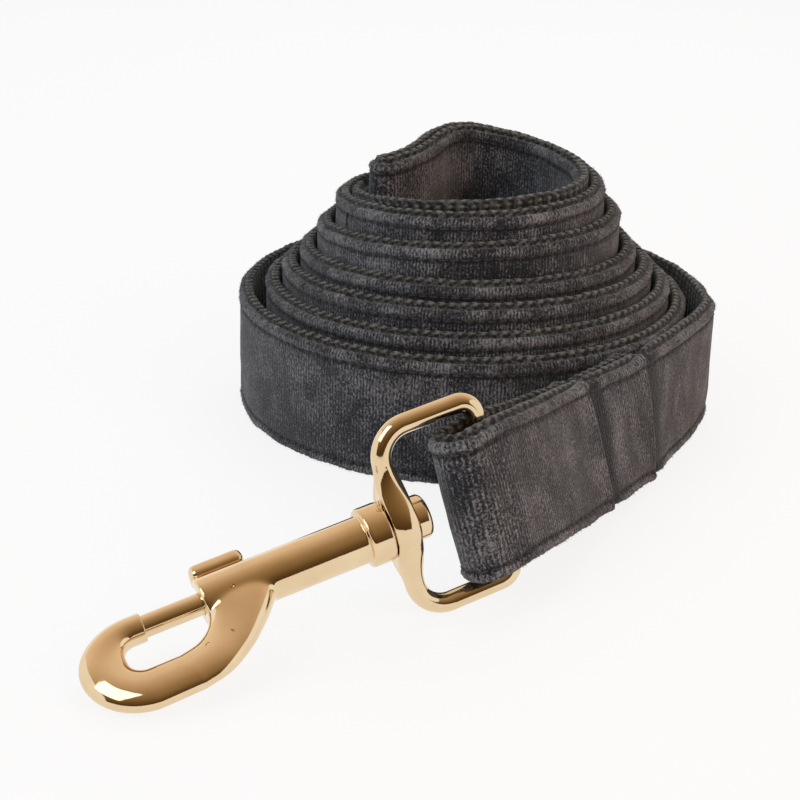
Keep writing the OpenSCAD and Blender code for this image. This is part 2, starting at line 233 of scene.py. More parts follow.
def coilRun():
    turn = np.linspace(lead["coilEnd"], lead["loopFrom"], lead["samples"]["coil"])
    out = radial(turn)
    return level(out * (outerRadius(turn) - thick / 2)[:, None], lowEdge(turn)), out


def innerRun():
    turn = np.linspace(lead["loopFrom"], lead["loopTo"], lead["samples"]["inner"])
    out = radial(turn)
    rise = np.sin(math.pi * (turn - lead["loopFrom"]) / (lead["loopTo"] - lead["loopFrom"]))
    radius = outerRadius(turn) - thick / 2 - 2 * layerOff
    return level(out * radius[:, None], lowEdge(turn) + lead["innerRise"] * rise), -out


def loopLine():
    turn = np.array([lead["loopFrom"]])
    start = radial(turn) * (outerRadius(turn) - thick - lead["layerGap"] / 2)[:, None]
    start[:, 2] = lowEdge(turn)
    points = np.vstack([start, lead["foldRoute"]])
    line = along(points, np.linspace(0, len(points) - 1, lead["samples"]["fold"]))
    ahead = unit(np.gradient(line, axis=0) * [1, 1, 0])
    side = np.stack([ahead[:, 1], -ahead[:, 0], 0 * ahead[:, 0]], -1)
    return line, ahead, side


def handLoop():
    line, ahead, side = loopLine()
    a = np.linspace(0, math.pi, lead["samples"]["tip"])[1:-1, None]
    bend = side[-1] * np.cos(a) + ahead[-1] * np.sin(a)
    out = level(line + layerOff * side, line[:, 2])[1:]
    tip = level(line[-1] + layerOff * bend, np.full(len(a), line[-1, 2]))
    back = level(line - layerOff * side, line[:, 2])[:0:-1]
    return np.vstack([out, tip, back]), np.vstack([side[1:], bend, -side[:0:-1]])


def endLine():
    turn = np.array([lead["coilEnd"]])
    start = (radial(turn) * (outerRadius(turn) - thick / 2)[:, None])[0]
    points = np.vstack([[-layerOff, 0, 0], lead["endRoute"]])
    place = np.linspace(0, len(points) - 1, lead["samples"]["end"])
    line = start + along(points, place) + halfWidth * upright
    lean = along(lead["endLean"], place)[:, None]
    up = unit(upright * (1 - lean) + lead["eyeUp"] * lean)
    return place, line, up


def hookEnd():  # from the tail round the eye's bar to the coil
    place, line, up = endLine()
    a = math.radians(lead["foldTurn"])
    ahead = np.array([-math.cos(a), -math.sin(a), 0])
    ahead = unit(ahead - (ahead @ lead["eyeUp"]) * lead["eyeUp"])
    heading = np.gradient(line, axis=0)
    heading[-1] = unit(heading[-1]) + ahead
    side = unit(np.cross(up, heading))
    side[0] = radial(lead["coilEnd"])
    first, last = lead["parting"]
    off = (layerOff + (barOff - layerOff) * ease((place - first) / (last - first)))[:, None]
    across = np.cross(lead["eyeUp"], ahead)
    b = np.linspace(math.pi, 0, lead["samples"]["bar"])[:, None]
    bend = across * np.cos(b) + ahead * np.sin(b)
    tip = line[-1] + lead["foldAhead"] * ahead + barOff * bend
    tail = place >= lead["tailFrom"]
    mid = np.vstack([(line - off * side)[tail], tip, (line + off * side)[::-1]])
    face = np.vstack([-side[tail], bend, side[::-1]])
    ups = np.vstack([up[tail], np.tile(lead["eyeUp"], (len(b), 1)), up[::-1]])
    spot = np.concatenate([-place[tail], np.zeros(len(b)), place[::-1]])
    return mid, face, ups, spot


def softened(values, width):
    reach = int(3 * width / lead["step"])
    weights = np.exp(-0.5 * (np.arange(-reach, reach + 1) * lead["step"] / width) ** 2)
    padded = np.pad(values, ((reach, reach), (0, 0)), mode="edge")
    rows = [np.convolve(padded[:, k], weights / weights.sum(), mode="valid") for k in range(3)]
    return np.stack(rows, -1)


def leadWay():
    endMid, endFace, endUp, endSpot = hookEnd()
    runs = [(endMid, endFace), coilRun(), handLoop(), innerRun()]
    mid = np.vstack([r[0] for r in runs]) + coilMiddle
    face = np.vstack([r[1] for r in runs])
    up = np.vstack([endUp, np.tile(upright, (len(mid) - len(endUp), 1))])
    gaps = np.linalg.norm(np.diff(mid, axis=0), axis=1)
    keep = np.concatenate([[True], gaps > tiny])
    mid, face, up = mid[keep], face[keep], up[keep]
    spot = np.concatenate([endSpot, np.zeros(len(keep) - len(endSpot))])[keep]
    run = np.concatenate([[0], np.cumsum(np.linalg.norm(np.diff(mid, axis=0), axis=1))])
    even = np.arange(0, run[-1], lead["step"])
    lines = [np.stack([np.interp(even, run, v[:, k]) for k in range(3)], -1) for v in (mid, face, up)]
    mid, face, up = (softened(v, lead["ease"]) for v in lines)
    face = unit(face)
    up = unit(up - (up * face).sum(1, keepdims=True) * face)
    fronts = [run[np.argmin(np.abs(spot - s))] for s in lead["seams"]]
    tails = [run[np.argmin(np.abs(spot + s))] for s in lead["seams"]]
    return {"run": even, "mid": mid, "face": face, "up": up, "length": even[-1],
            "fronts": fronts, "tails": tails}


way = leadWay()
print("lead laid out, metres:", round(way["length"], 3))


def stations(run):
    return [np.stack([np.interp(run, way["run"], way[v][:, k]) for k in range(3)], -1)
            for v in ("mid", "face", "up")]


waves = {
    "parts": ((1, 1, 1), (0.7, 1.618, 2.3), (0.5, 2.71, 4.1)),  # size, rate, shift
    "size": 1.7,
}


def ripple(x, length, phase):  # a smooth wander, about -1 to 1
    t = fullTurn * x / length
    total = sum(size * np.sin(rate * t + shift * phase) for size, rate, shift in waves["parts"])
    return total / waves["size"]


# cross seams: where the two layers are drawn together

seam = {
    "width": 0.6 * mm,
    "depth": 0.95,
    "puff": 1.35 * mm,  # swelling on the hook side of each seam
    "puffStart": 0.48 * mm,
    "puffRun": 3.2 * mm,
    "edgeLoss": 0.5,  # share of the swelling that is lost at the edges
    "slack": (0.45, 2.6 * mm),  # how the coil side rises again: share of the depth, run
    "edgePull": 1.3 * mm,
    "edgePeak": (1.5 * mm, 0.45 * mm),  # above and below
}


def seamSides(run):  # distance from each cross seam, over 0 on its coil side
    return [sign * (run - s) for sign, places in ((1, way["fronts"]), (-1, way["tails"])) for s in places]


def seamDip(run):
    share, fade = seam["slack"]
    return sum(np.maximum(bell(d, seam["width"]), np.where(d > 0, share * bell(d, fade), 0))
               for d in seamSides(run))


def seamPuff(run):
    hookSides = [np.minimum(0, d) for d in seamSides(run)]
    return sum(np.exp(d / seam["puffRun"]) * (1 - np.exp(d / seam["puffStart"])) for d in hookSides)


# velvet facing, hemmed along both edges

velvet = {
    "step": 0.5 * mm,
    "seamStep": 0.15 * mm,
    "seamReach": 2 * mm,
    "seamGap": 0.1 * mm,
    "stitch": 2.0 * mm,
    "inset": (0.2 * mm, 0.8 * mm),  # how far the webbing shows past the hem, below and above
    # half the section from the edge inwards: distance from the edge, height over the webbing
    "section": np.array([[0.12, -0.1], [0.0, 0.3], [0.1, 0.74], [0.4, 1.06], [0.9, 1.2], [1.45, 1.14],
                         [1.85, 0.94], [2.1, 0.8], [2.4, 0.95], [2.9, 1.06], [4.2, 1.12], [6.5, 1.16],
                         [9.5, 1.18]]) * mm,
    "middle": 1.18 * mm,
    "groove": 7,  # entry of the section that carries the stitches
    # how the stitches pucker the groove and the hem: depth, distance from the edge, width
    "puckers": ((0.13 * mm, 2.1 * mm, 0.5 * mm), (0.05 * mm, 0.8 * mm, 0.6 * mm)),
    # height, length, slant and phase of each wander of the surface
    "wander": ((0.16 * mm, 31 * mm, 0.4, 1.3), (0.08 * mm, 9 * mm, -0.7, 0.4)),
    "edgeRun": 3 * mm,
    "edgeWander": (0.12 * mm, 17 * mm, 2.0),  # size, length, phase
    "nap": 0.045 * mm,
    "napTo": 3.2 * mm,
    "napFade": 2 * mm,
    "napSeed": 5,
    "seamShadeRuns": (3.6 * mm, 0.5 * mm),  # how far the painted shade behind each seam reaches: coil side, hook side
    "grooveShade": (0.8, 2 * mm, 0.34 * mm),  # painted shade in the stitch groove: share, distance from the edge, width
    "hemHighlight": (0.28, 0.8 * mm, 0.65 * mm),  # the same for a painted highlight along the hem's crown
    "hemHighlightWave": (23 * mm, 0.9),  # length, phase
    "steady": 0.75,  # share of the marks that doesn't come and go
}
velvetFoot = lead["webbing"] - thick / 2


def velvetSection(run):
    e, t = velvet["section"].T
    inward = np.concatenate([e, [halfWidth], e[::-1]])
    sign = np.concatenate([-np.ones(len(e)), [0], np.ones(len(e))])
    height = np.concatenate([t, [velvet["middle"]], t[::-1]])
    across = sign * (halfWidth - inward)
    run = run[:, None]
    share = np.clip(height / velvet["middle"], 0, 1)
    phase = np.cos(fullTurn * run / velvet["stitch"])
    height = height - phase * sum(deep * bell(inward - at, wide) for deep, at, wide in velvet["puckers"])
    for size, length, slant, start in velvet["wander"]:
        height = height + size * share * ripple(run + slant * across, length, start)
    edge = np.clip(1 - inward / velvet["edgeRun"], 0, 1)
    dip, puff = seamDip(run), seamPuff(run)
    swell = seam["puff"] * puff * share * (1 - seam["edgeLoss"] * edge)
    height = height * (1 - seam["depth"] * dip * share) + swell
    peak = np.where(sign > 0, *seam["edgePeak"])
    size, length, start = velvet["edgeWander"]
    pull = edge * (seam["edgePull"] * dip - peak * puff - size * ripple(run, length, start))
    low, high = velvet["inset"]
    across = (across - np.sign(across) * pull) * (1 - (low + high) / lead["width"]) + (low - high) / 2
    return velvetFoot + height, across


def velvetStations():  # closer together at the cross seams
    run = np.arange(0, way["length"], velvet["step"])
    seams, reach = way["fronts"] + way["tails"], velvet["seamReach"]
    near = [np.arange(s - reach, s + reach, velvet["seamStep"]) for s in seams]
    run = run[np.min([np.abs(run - s) for s in seams], axis=0) > reach + velvet["seamGap"]]
    return np.sort(np.concatenate([run] + near))


def napped(depth, across):  # the pile along the hems isn't even
    draw = np.random.default_rng(velvet["napSeed"])
    hem = np.clip((velvet["napTo"] - halfWidth + np.abs(across)) / velvet["napFade"], 0, 1)
    return (depth + hem * velvet["nap"] * draw.standard_normal(depth.shape),
            across + hem * velvet["nap"] * draw.standard_normal(depth.shape))


bakeRows = {
    "rows": 6,
    "endGap": 0.01,
    "sideGap": 0.04,
}


def layStrapMaps(mesh, run, across, quads):
    # one map in metres along and across the strap, one laid out in rows for a picture
    count, m = across.shape
    i, j = quads[:, 0] // m, quads[:, 0] % m
    lengthwise = np.stack([i, i, i + 1, i + 1], -1)
    crosswise = np.stack([j, j + 1, j + 1, j], -1)
    pattern = np.stack([run[lengthwise], across[lengthwise, crosswise % m]], -1)
    rows, endGap, sideGap = bakeRows.values()
    perRow = math.ceil((count - 1) / rows)
    row = (i // perRow)[:, None]
    u = (lengthwise - row * perRow) / perRow * (1 - 2 * endGap) + endGap
    v = (row + sideGap + (1 - 2 * sideGap) * crosswise / m) / rows
    for name, values in (("strapWay", pattern), ("OFBake", np.stack([u, v], -1))):
        flat = values.reshape(-1, 2)
        layMap(mesh, name, np.vstack([flat, np.repeat(flat[:1], len(mesh.loops) - len(flat), axis=0)]))


def stripMesh(name, run, depth, across):
    mid, face, up = stations(run)
    points = mid[:, None] + face[:, None] * depth[:, :, None] + up[:, None] * across[:, :, None]
    points[..., 2] = np.maximum(points[..., 2], lead["floorGap"])
    quads, caps = ringFaces(*depth.shape)
    piece = meshPiece(name, points.reshape(-1, 3).tolist(), quads.tolist() + caps)
    layStrapMaps(piece.data, run, across, quads)
    return smoothed(piece)


def markPaintedLight(piece, values):  # painted light read by the finishes: painted shade where it is over 0, painted highlight where it is under 0
    paintedLight = piece.data.attributes.new("paintedLight", "FLOAT", "POINT")
    paintedLight.data.foreach_set("value", values.ravel())


def pileShadeAndHighlight(run, across):
    # painted shade up to 1 behind the cross seams and in the stitch grooves, and under 0 a painted highlight
    # on the hem's crown
    run = run[:, None]
    steady = velvet["steady"]
    line = sum(np.exp(-((d / np.where(d > 0, *velvet["seamShadeRuns"])) ** 4)) for d in seamSides(run))
    inward = np.minimum(across - across[:, :1], across[:, -1:] - across)
    share, at, wide = velvet["grooveShade"]
    gap = steady + (1 - steady) * np.cos(fullTurn * run / velvet["stitch"])
    groove = share * gap * bell(inward - at, wide)
    share, at, wide = velvet["hemHighlight"]
    wave = steady + (1 - steady) * ripple(run, *velvet["hemHighlightWave"])
    return np.clip(line + groove, 0, 1) - share * wave * bell(inward - at, wide)


velvetRun = velvetStations()
velvetDepth, velvetAcross = velvetSection(velvetRun)
velvetFacing = stripMesh("velvetFacing", velvetRun, *napped(velvetDepth, velvetAcross))
# painted shade behind the cross seams and in the stitch grooves, painted highlight on the hems' crowns
markPaintedLight(velvetFacing, pileShadeAndHighlight(velvetRun, velvetAcross))
print("velvet facing made")


# loose fibres of the pile that stand out of the hems

pile = {
    "fibres": 36000,
    "long": (0.25 * mm, 0.6 * mm),
    "wide": 0.035 * mm,
    "sink": 0.05 * mm,
    "ends": 0.5 * mm,  # bare length at both ends of the lead
    "columns": 5,  # entries of the section that carry fibres, from the edge
    "upper": 0.65,  # share of the fibres on the upper hem
    "tangle": 0.5,
    "seed": 11,
}


def pileRoots(draw):
    run = pile["ends"] + draw.random(pile["fibres"]) * (way["length"] - 2 * pile["ends"])
    depth, across = velvetSection(run)
    mid, face, up = stations(run)
    rows, last = np.arange(len(run)), depth.shape[1] - 1
    edge = np.where(draw.random(len(run)) < pile["upper"], 1, -1)
    share, column = np.modf(pile["columns"] * draw.random(len(run)))
    here, there = (np.where(edge > 0, last - k, k).astype(int) for k in (column, column + 1))
    d, a = depth[rows, here], across[rows, here]
    dd, da = depth[rows, there] - d, across[rows, there] - a
    d, a = d + share * dd, a + share * da
    turn = np.sign(da - edge * dd)
    out = unit((turn * da)[:, None] * face - (turn * dd)[:, None] * up)
    return run, a, mid + d[:, None] * face + a[:, None] * up, out


def velvetPile():
    draw = np.random.default_rng(pile["seed"])
    run, across, root, out = pileRoots(draw)
    count = len(run)
    lean = unit(out + pile["tangle"] * draw.standard_normal((count, 3)))
    length = draw.uniform(*pile["long"], count)[:, None]
    side = unit(np.cross(lean, oblique))
    other = np.cross(lean, side)
    root = root - pile["sink"] * lean
    feet = [root + pile["wide"] * (math.cos(t) * side + math.sin(t) * other)
            for t in (0, fullTurn / 3, 2 * fullTurn / 3)]
    points = np.stack(feet + [root + length * lean], 1)
    points[..., 2] = np.maximum(points[..., 2], lead["floorGap"])
    spike = np.array([[0, 2, 1], [0, 1, 3], [1, 2, 3], [2, 0, 3]])
    faces = (4 * np.arange(count)[:, None, None] + spike).reshape(-1, 3)
    piece = meshPiece("velvetPile", points.reshape(-1, 3).tolist(), faces.tolist())
    # each fibre has a cell of the picture, and each of its faces a quarter of that
    cells = math.ceil(math.sqrt(count))
    cell = np.stack([np.arange(count) % cells, np.arange(count) // cells], -1)[:, None, None]
    quarters = np.array([[0, 0], [0.5, 0], [0, 0.5], [0.5, 0.5]])[:, None]
    corners = np.array([[0.05, 0.05], [0.45, 0.05], [0.25, 0.45]])
    sheetMap = (cell + quarters + corners) / cells
    pattern = np.broadcast_to(np.stack([run, across], -1)[:, None, None], sheetMap.shape)
    layMap(piece.data, "strapWay", pattern)
    layMap(piece.data, "OFBake", sheetMap)
    return piece


pileFuzz = velvetPile()
print("pile made")


# webbing strip behind the velvet, with its yarns turning back along the edges

webbing = {
    "step": 0.3 * mm,
    "yarn": 2.1 * mm,
    "lump": (0.45 * mm, 0.135 * mm),  # above and below
    "innerLump": 0.225 * mm,
    "innerTo": 0.35,  # share of the thickness that carries the inner lumps
    "roundness": 0.8,
    "gapShadeTo": 0.25,  # height of a yarn's lump up to which its gaps get painted shade
    "slant": 0.8,
    "rim": 1.2 * mm,
    "edgePull": 1.17 * mm,
    "edgeWander": (0.12 * mm, 13 * mm, 3.1),  # size, length, phase
    "tuck": 0.4 * mm,  # how far the lower edge stays behind the hem
    # the edge from the inner face to the velvet: distance from the edge, share of the thickness
    "edge": np.array([[0.9, 0.0], [0.3, 0.06], [0.05, 0.22], [0.0, 0.42], [0.02, 0.62], [0.1, 0.82],
                      [0.5, 1.0]]) * [mm, 1],
    "inside": np.array([0.66, 1.34]) * halfWidth,  # two more points on the inner face
}
webbingShare = np.concatenate([webbing["edge"][:, 1], webbing["edge"][::-1, 1], [0, 0]])


def yarnLump(run):  # -0.5 in the gaps between the yarns, 0.5 on top of each
    turn = run / webbing["yarn"] + webbing["slant"] * np.abs(webbingShare - 0.5) * 2
    return np.abs(np.cos(math.pi * turn)) ** webbing["roundness"] - 0.5


# painted shade in the gaps between the yarns, up to 1 deep in a gap
def yarnGapShade(run):
    sides = np.ones(len(webbingShare))
    sides[-2:] = 0
    return sides * np.clip(webbing["gapShadeTo"] - yarnLump(run[:, None]), 0, 1) / (webbing["gapShadeTo"] + 0.5)


def webbingSection(run):
    e = webbing["edge"][:, 0]
    run = run[:, None]
    inward = np.concatenate([e, e[::-1], webbing["inside"]])
    sign = np.concatenate([np.ones(len(e)), -np.ones(len(e)), [1, 1]])
    across = sign * (halfWidth - inward)
    lump = yarnLump(run)
    rim = np.clip(1 - inward / webbing["rim"], 0, 1)
    size = np.where(sign > 0, *webbing["lump"])
    across = across + sign * rim * (size * lump - webbing["edgePull"] * seamDip(run))
    across = across + np.where(sign < 0, rim * webbing["tuck"], 0)
    size, length, start = webbing["edgeWander"]
    across = across + sign * rim * size * ripple(run, length, start)
    inner = np.clip(webbing["innerTo"] - webbingShare, 0, 1)
    depth = -thick / 2 + lead["webbing"] * webbingShare - webbing["innerLump"] * inner * rim * lump
    return depth, across


webbingRun = np.arange(0, way["length"], webbing["step"])
webbingStrip = stripMesh("webbingStrip", webbingRun, *webbingSection(webbingRun))
# painted shade in the gaps between the yarns
markPaintedLight(webbingStrip, yarnGapShade(webbingRun))
print("webbing strip made")


# threads: edge rows, cross seams and their frayed ends

thread = {
    "sides": 6,
    "edgeRadius": 0.17 * mm,
    # an edge stitch from hole to hole: share of the pitch, height over the groove
    "stitchWay": np.array([-0.46, -0.3, 0, 0.3, 0.46]),
    "stitchLift": np.array([-0.2, 0.02, 0.1, 0.02, -0.2]) * mm,
    "seamRadius": 0.24 * mm,
    "seamRise": 0.072 * mm,
    "seamStitch": 2.4 * mm,
    "seamPitch": 2.9 * mm,
    "corner": (0.18, 0.06),  # where a seam's stitch begins to bend and where it has
    "margin": 1.6 * mm,
    "loopTurns": (1.03, 0.93),
    "loopSpans": ((0.9, 1.0), (0.8, 0.95)),  # shares of the lead that hold the loop's inner and outer layer
}


def tubeRings(points, radius, closed):
    if closed:
        heading = unit(np.roll(points, -1, 0) - np.roll(points, 1, 0))
    else:
        heading = unit(np.gradient(points, axis=0))
    a = unit(np.cross(heading, oblique))
    b = np.cross(heading, a)
    t = (np.arange(thread["sides"]) * fullTurn / thread["sides"])[:, None]
    return points[:, None] + radius * (a[:, None] * np.cos(t) + b[:, None] * np.sin(t))


def tubesMesh(name, tubes, radius, closed=False):
    points, faces, base = [], [], 0
    for tube in tubes:
        rings = tubeRings(tube, radius, closed)
        quads, caps = ringFaces(len(tube), thread["sides"], closed)
        points.append(rings.reshape(-1, 3))
        faces += (quads + base).tolist() + [[base + k for k in cap] for cap in caps]
        base += len(points[-1])
    return smoothed(meshPiece(name, np.vstack(points).tolist(), faces))


def edgeStitches():
    pitch = velvet["stitch"]
    holes = np.arange(0.5, way["length"] / pitch - 1) * pitch
    run = (holes[:, None] + thread["stitchWay"] * pitch).ravel()
    depth, across = velvetSection(run)
    mid, face, up = stations(run)
    lift = np.tile(thread["stitchLift"], len(holes))
    tubes = []
    last = depth.shape[1] - 1
    for column in (velvet["groove"], last - velvet["groove"]):
        rows = mid + face * (depth[:, column] + lift)[:, None] + up * across[:, column][:, None]
        tubes += list(rows.reshape(len(holes), -1, 3))
    return tubesMesh("edgeStitches", tubes, thread["edgeRadius"])


edgeRows = edgeStitches()
print("edge stitches made")


def stitchLoop(low, high, upLow, upHigh):
    # a loop of thread through both layers, rounded at its corners
    half, points = thread["seamStitch"] / 2, []
    corners = [low - upLow * half, low + upLow * half, high + upHigh * half, high - upHigh * half]
    far, near = thread["corner"]
    for k, here in enumerate(corners):
        before, after = corners[k - 1] - here, corners[(k + 1) % 4] - here
        points += [here + before * far, here + before * near, here + after * near, here + after * far]
    return np.array(points)


def seamLoops(lowRun, highRun):
    span = lead["width"] - 2 * thread["margin"] - thread["seamStitch"]
    count = int(span / thread["seamPitch"]) + 1
    rows = (np.arange(count) - (count - 1) / 2) * thread["seamPitch"]
    run = np.array([lowRun, highRun])
    depth, across = velvetSection(run)
    mid, face, up = stations(run)
    tops = []
    for k in (0, 1):
        order = np.argsort(across[k])
        surface = np.interp(rows, across[k][order], depth[k][order]) + thread["seamRise"]
        tops.append(mid[k] + face[k] * surface[:, None] + up[k] * rows[:, None])
    return [stitchLoop(low, high, *up) for low, high in zip(*tops)]


def runAtTurn(turn, layer):
    # where the strap passes a place of the coil, on its inner layer (0) or its outer one (1)
    t = np.array([turn])
    radius = outerRadius(t) - thick / 2 - (0 if layer else 2 * layerOff)
    spot = (radial(t) * radius[:, None])[0] + coilMiddle
    first, last = (share * way["length"] for share in thread["loopSpans"][layer])
    inSpan = (way["run"] > first) & (way["run"] < last)
    gap = np.linalg.norm((way["mid"] - spot) * [1, 1, 0], axis=1)
    return way["run"][np.argmin(np.where(inSpan, gap, 1))]


fray = {
    "radius": 0.07 * mm,
    "lengths": np.array([1.2, 1.8, 1.0, 2.2, 1.4, 0.9, 1.6]) * mm,
    "depth": (0.6 * mm, 1.1 * mm),
    "overEdge": (-0.8 * mm, 0.2 * mm),
    "leanOut": (-0.1, 0.4),
    "leanAlong": (-0.8, 0.8),
    "rise": 0.7,
    "droopAlong": (-0.5, 0.5),
    "droopOut": (0, 0.4),
    "fall": 0.6,
    "droop": 0.6,
    "points": 7,
    "seed": 7,
}


def frayedEnds(run, seed):
    draw = np.random.default_rng(seed)
    mid, face, up = (v[0] for v in stations(np.array([run])))
    forward = np.cross(up, face)
    s = np.linspace(0, 1, fray["points"])[:, None]
    tubes = []
    for length in fray["lengths"]:
        start = mid + face * draw.uniform(*fray["depth"]) + up * (halfWidth + draw.uniform(*fray["overEdge"]))
        lean = face * draw.uniform(*fray["leanOut"]) + forward * draw.uniform(*fray["leanAlong"])
        droop = forward * draw.uniform(*fray["droopAlong"]) + face * draw.uniform(*fray["droopOut"])
        lean, droop = unit(lean + up * fray["rise"]), fray["droop"] * (droop - up * fray["fall"])
        tubes.append(start + length * (lean * s + droop * s**2))
    return tubes


hookLoops = [loop for ends in zip(way["tails"], way["fronts"]) for loop in seamLoops(*ends)]
hookSeams = tubesMesh("hookEndSeams", hookLoops, thread["seamRadius"], closed=True)
loopEnds = [[runAtTurn(turn, layer) for layer in (0, 1)] for turn in thread["loopTurns"]]
handLoops = [loop for ends in loopEnds for loop in seamLoops(*ends)]
loopSeams = tubesMesh("handLoopSeams", handLoops, thread["seamRadius"], closed=True)
frayTubes = [tube for k, run in enumerate(way["fronts"]) for tube in frayedEnds(run, fray["seed"] + k)]
frays = tubesMesh("frayedEnds", frayTubes, fray["radius"])
print("seams and frayed ends made")


# finishes

def addNode(tree, kind, **settings):
    node = tree.nodes.new(kind)
    for key, value in settings.items():
        if key in node.inputs:
            node.inputs[key].default_value = value
        else:
            setattr(node, key, value)
    return node


def newFinish(name, settings):
    finish = bpy.data.materials.new(name)
    finish.use_nodes = True
    tree = finish.node_tree
    shader = tree.nodes["Principled BSDF"]
    for key, value in settings.items():
        shader.inputs[key].default_value = value
    return finish, tree, shader


def noiseOn(tree, vector, scale, detail, rough, squeeze=None):
    noise = addNode(tree, "ShaderNodeTexNoise", Scale=scale, Detail=detail, Roughness=rough)
    if squeeze:
        mapping = addNode(tree, "ShaderNodeMapping", Scale=(1, squeeze, 1))
        tree.links.new(vector, mapping.inputs["Vector"])
        vector = mapping.outputs["Vector"]
    tree.links.new(vector, noise.inputs["Vector"])
    return noise.outputs["Fac"]


def noisesOn(tree, vector, finish):
    return {name: noiseOn(tree, vector, *values) for name, values in finish["noises"].items()}


wavePitch = 0.314  # of a wave texture at scale 1


def waveOn(tree, vector, pitch, **settings):
    wave = addNode(tree, "ShaderNodeTexWave", Scale=wavePitch / pitch, **settings)
    tree.links.new(vector, wave.inputs["Vector"])
    return wave.outputs["Fac"]


def blendOf(tree, kind, a, b):
    node = addNode(tree, "ShaderNodeMath", operation=kind)
    for k, v in enumerate((a, b)):
        if isinstance(v, (int, float)):
            node.inputs[k].default_value = v
        else:
            tree.links.new(v, node.inputs[k])
    return node.outputs[0]


def weighted(tree, values, shares):
    total = None
    for name, share in shares.items():
        part = blendOf(tree, "MULTIPLY", values[name], share)
        total = part if total is None else blendOf(tree, "ADD", total, part)
    return total


def rampOn(tree, value, stops):
    ramp = addNode(tree, "ShaderNodeValToRGB")
    points = ramp.color_ramp.elements
    while len(points) < len(stops):
        points.new(0.5)
    for point, (place, colour) in zip(points, stops):
        point.position = place
        point.color = (*colour, 1)
    tree.links.new(value, ramp.inputs["Fac"])
    return ramp.outputs["Color"]


def colourOn(tree, shader, value, stops):
    tree.links.new(rampOn(tree, value, stops), shader.inputs["Base Color"])


def bumpOn(tree, shader, height, strength, distance):
    bump = addNode(tree, "ShaderNodeBump", Strength=strength, Distance=distance)
    tree.links.new(height, bump.inputs["Height"])
    tree.links.new(bump.outputs["Normal"], shader.inputs["Normal"])


def strapMap(tree):
    return addNode(tree, "ShaderNodeUVMap", uv_map="strapWay").outputs["UV"]


def objectMap(tree):
    return addNode(tree, "ShaderNodeTexCoord").outputs["Object"]


# the painted shade and painted highlight marked on a strip
def paintedLightOn(tree):
    return addNode(tree, "ShaderNodeAttribute", attribute_name="paintedLight").outputs["Fac"]


velvetFinish = {
    "noises": {  # scale, detail, roughness, squeeze across the strap
        "cloud": (48, 3, 0.55),
        "patch": (190, 4, 0.6, 0.6),
        "streak": (1406.25, 2, 0.6, 0.16),
        "tuft": (2400, 3, 0.65, 0.6),
        "fibre": (5200, 2, 0.7, 0.45),
    },
    "ribPitch": 0.64 * mm,
    "rib": {"Distortion": 2.2, "Detail": 2.0, "Detail Scale": 1.8},
    # tone: the painted light marked on the strip lowers it for painted shade and raises it for the hems'
    # painted highlight
    "tone": {"cloud": 0.2, "patch": 0.24, "streak": 0.12, "tuft": 0.48, "fibre": 0.38, "broken": 0.12,
             "paintedLight": -0.2},
    "stops": ((0.685, (0.012, 0.013, 0.016)), (0.76, (0.051, 0.053, 0.061)), (0.865, (0.247, 0.249, 0.264))),
    "height": {"fibre": 0.6, "tuft": 0.7, "streak": 0.2, "broken": 0.2, "patch": 0.6},
    "bump": (0.9, 0.5 * mm),
    "shader": {"Roughness": 0.95, "Specular IOR Level": 0.1, "Sheen Weight": 0.5, "Sheen Roughness": 0.45,
               "Sheen Tint": (0.72, 0.71, 0.71, 1)},
}


def charcoalVelvet():
    finish, tree, shader = newFinish("charcoalVelvet", velvetFinish["shader"])
    uv = strapMap(tree)
    values = noisesOn(tree, uv, velvetFinish)
    rib = waveOn(tree, uv, velvetFinish["ribPitch"], **velvetFinish["rib"])
    values["broken"] = blendOf(tree, "MULTIPLY", rib, values["patch"])
    # painted shade at the cross seams and stitch grooves, painted highlight on the hems
    values["paintedLight"] = paintedLightOn(tree)
    colourOn(tree, shader, weighted(tree, values, velvetFinish["tone"]), velvetFinish["stops"])
    bumpOn(tree, shader, weighted(tree, values, velvetFinish["height"]), *velvetFinish["bump"])
    return finish


webbingFinish = {
    "noises": {"fibre": (3800, 3, 0.7), "strand": (900, 2, 0.6)},
    "weft": {"Distortion": 0.6, "Detail": 1.0},
    "warpPitch": 1.1 * mm,
    "warp": {"bands_direction": "Y", "Distortion": 0.6},
    # tone: lowered by the painted shade in the yarn gaps
    "tone": {"fibre": 0.45, "strand": 0.4, "weave": 0.2, "paintedLight": -0.2},
    "stops": ((0.37, (0.010, 0.0105, 0.0105)), (0.63, (0.155, 0.159, 0.153))),
    "height": {"fibre": 0.5, "strand": 0.7, "weave": 0.6},
    "bump": (0.8, 0.3 * mm),
    "shader": {"Roughness": 0.85, "Specular IOR Level": 0.2, "Sheen Weight": 0.12},
}


def darkWebbing():
    finish, tree, shader = newFinish("darkWebbing", webbingFinish["shader"])
    uv = strapMap(tree)
    weft = waveOn(tree, uv, webbing["yarn"], **webbingFinish["weft"])
    warp = waveOn(tree, uv, webbingFinish["warpPitch"], **webbingFinish["warp"])
    values = noisesOn(tree, objectMap(tree), webbingFinish)
    values["weave"] = blendOf(tree, "MULTIPLY", weft, warp)
    # painted shade in the yarn gaps
    values["paintedLight"] = paintedLightOn(tree)
    colourOn(tree, shader, weighted(tree, values, webbingFinish["tone"]), webbingFinish["stops"])
    bumpOn(tree, shader, weighted(tree, values, webbingFinish["height"]), *webbingFinish["bump"])
    return finish


threadFinish = {
    "noises": {"ply": (4200, 2, 0.6)},
    "stops": ((0.35, (0.018, 0.018, 0.02)), (0.7, (0.075, 0.074, 0.076))),
    "bump": (0.6, 0.1 * mm),
    "shader": {"Roughness": 0.7},
}


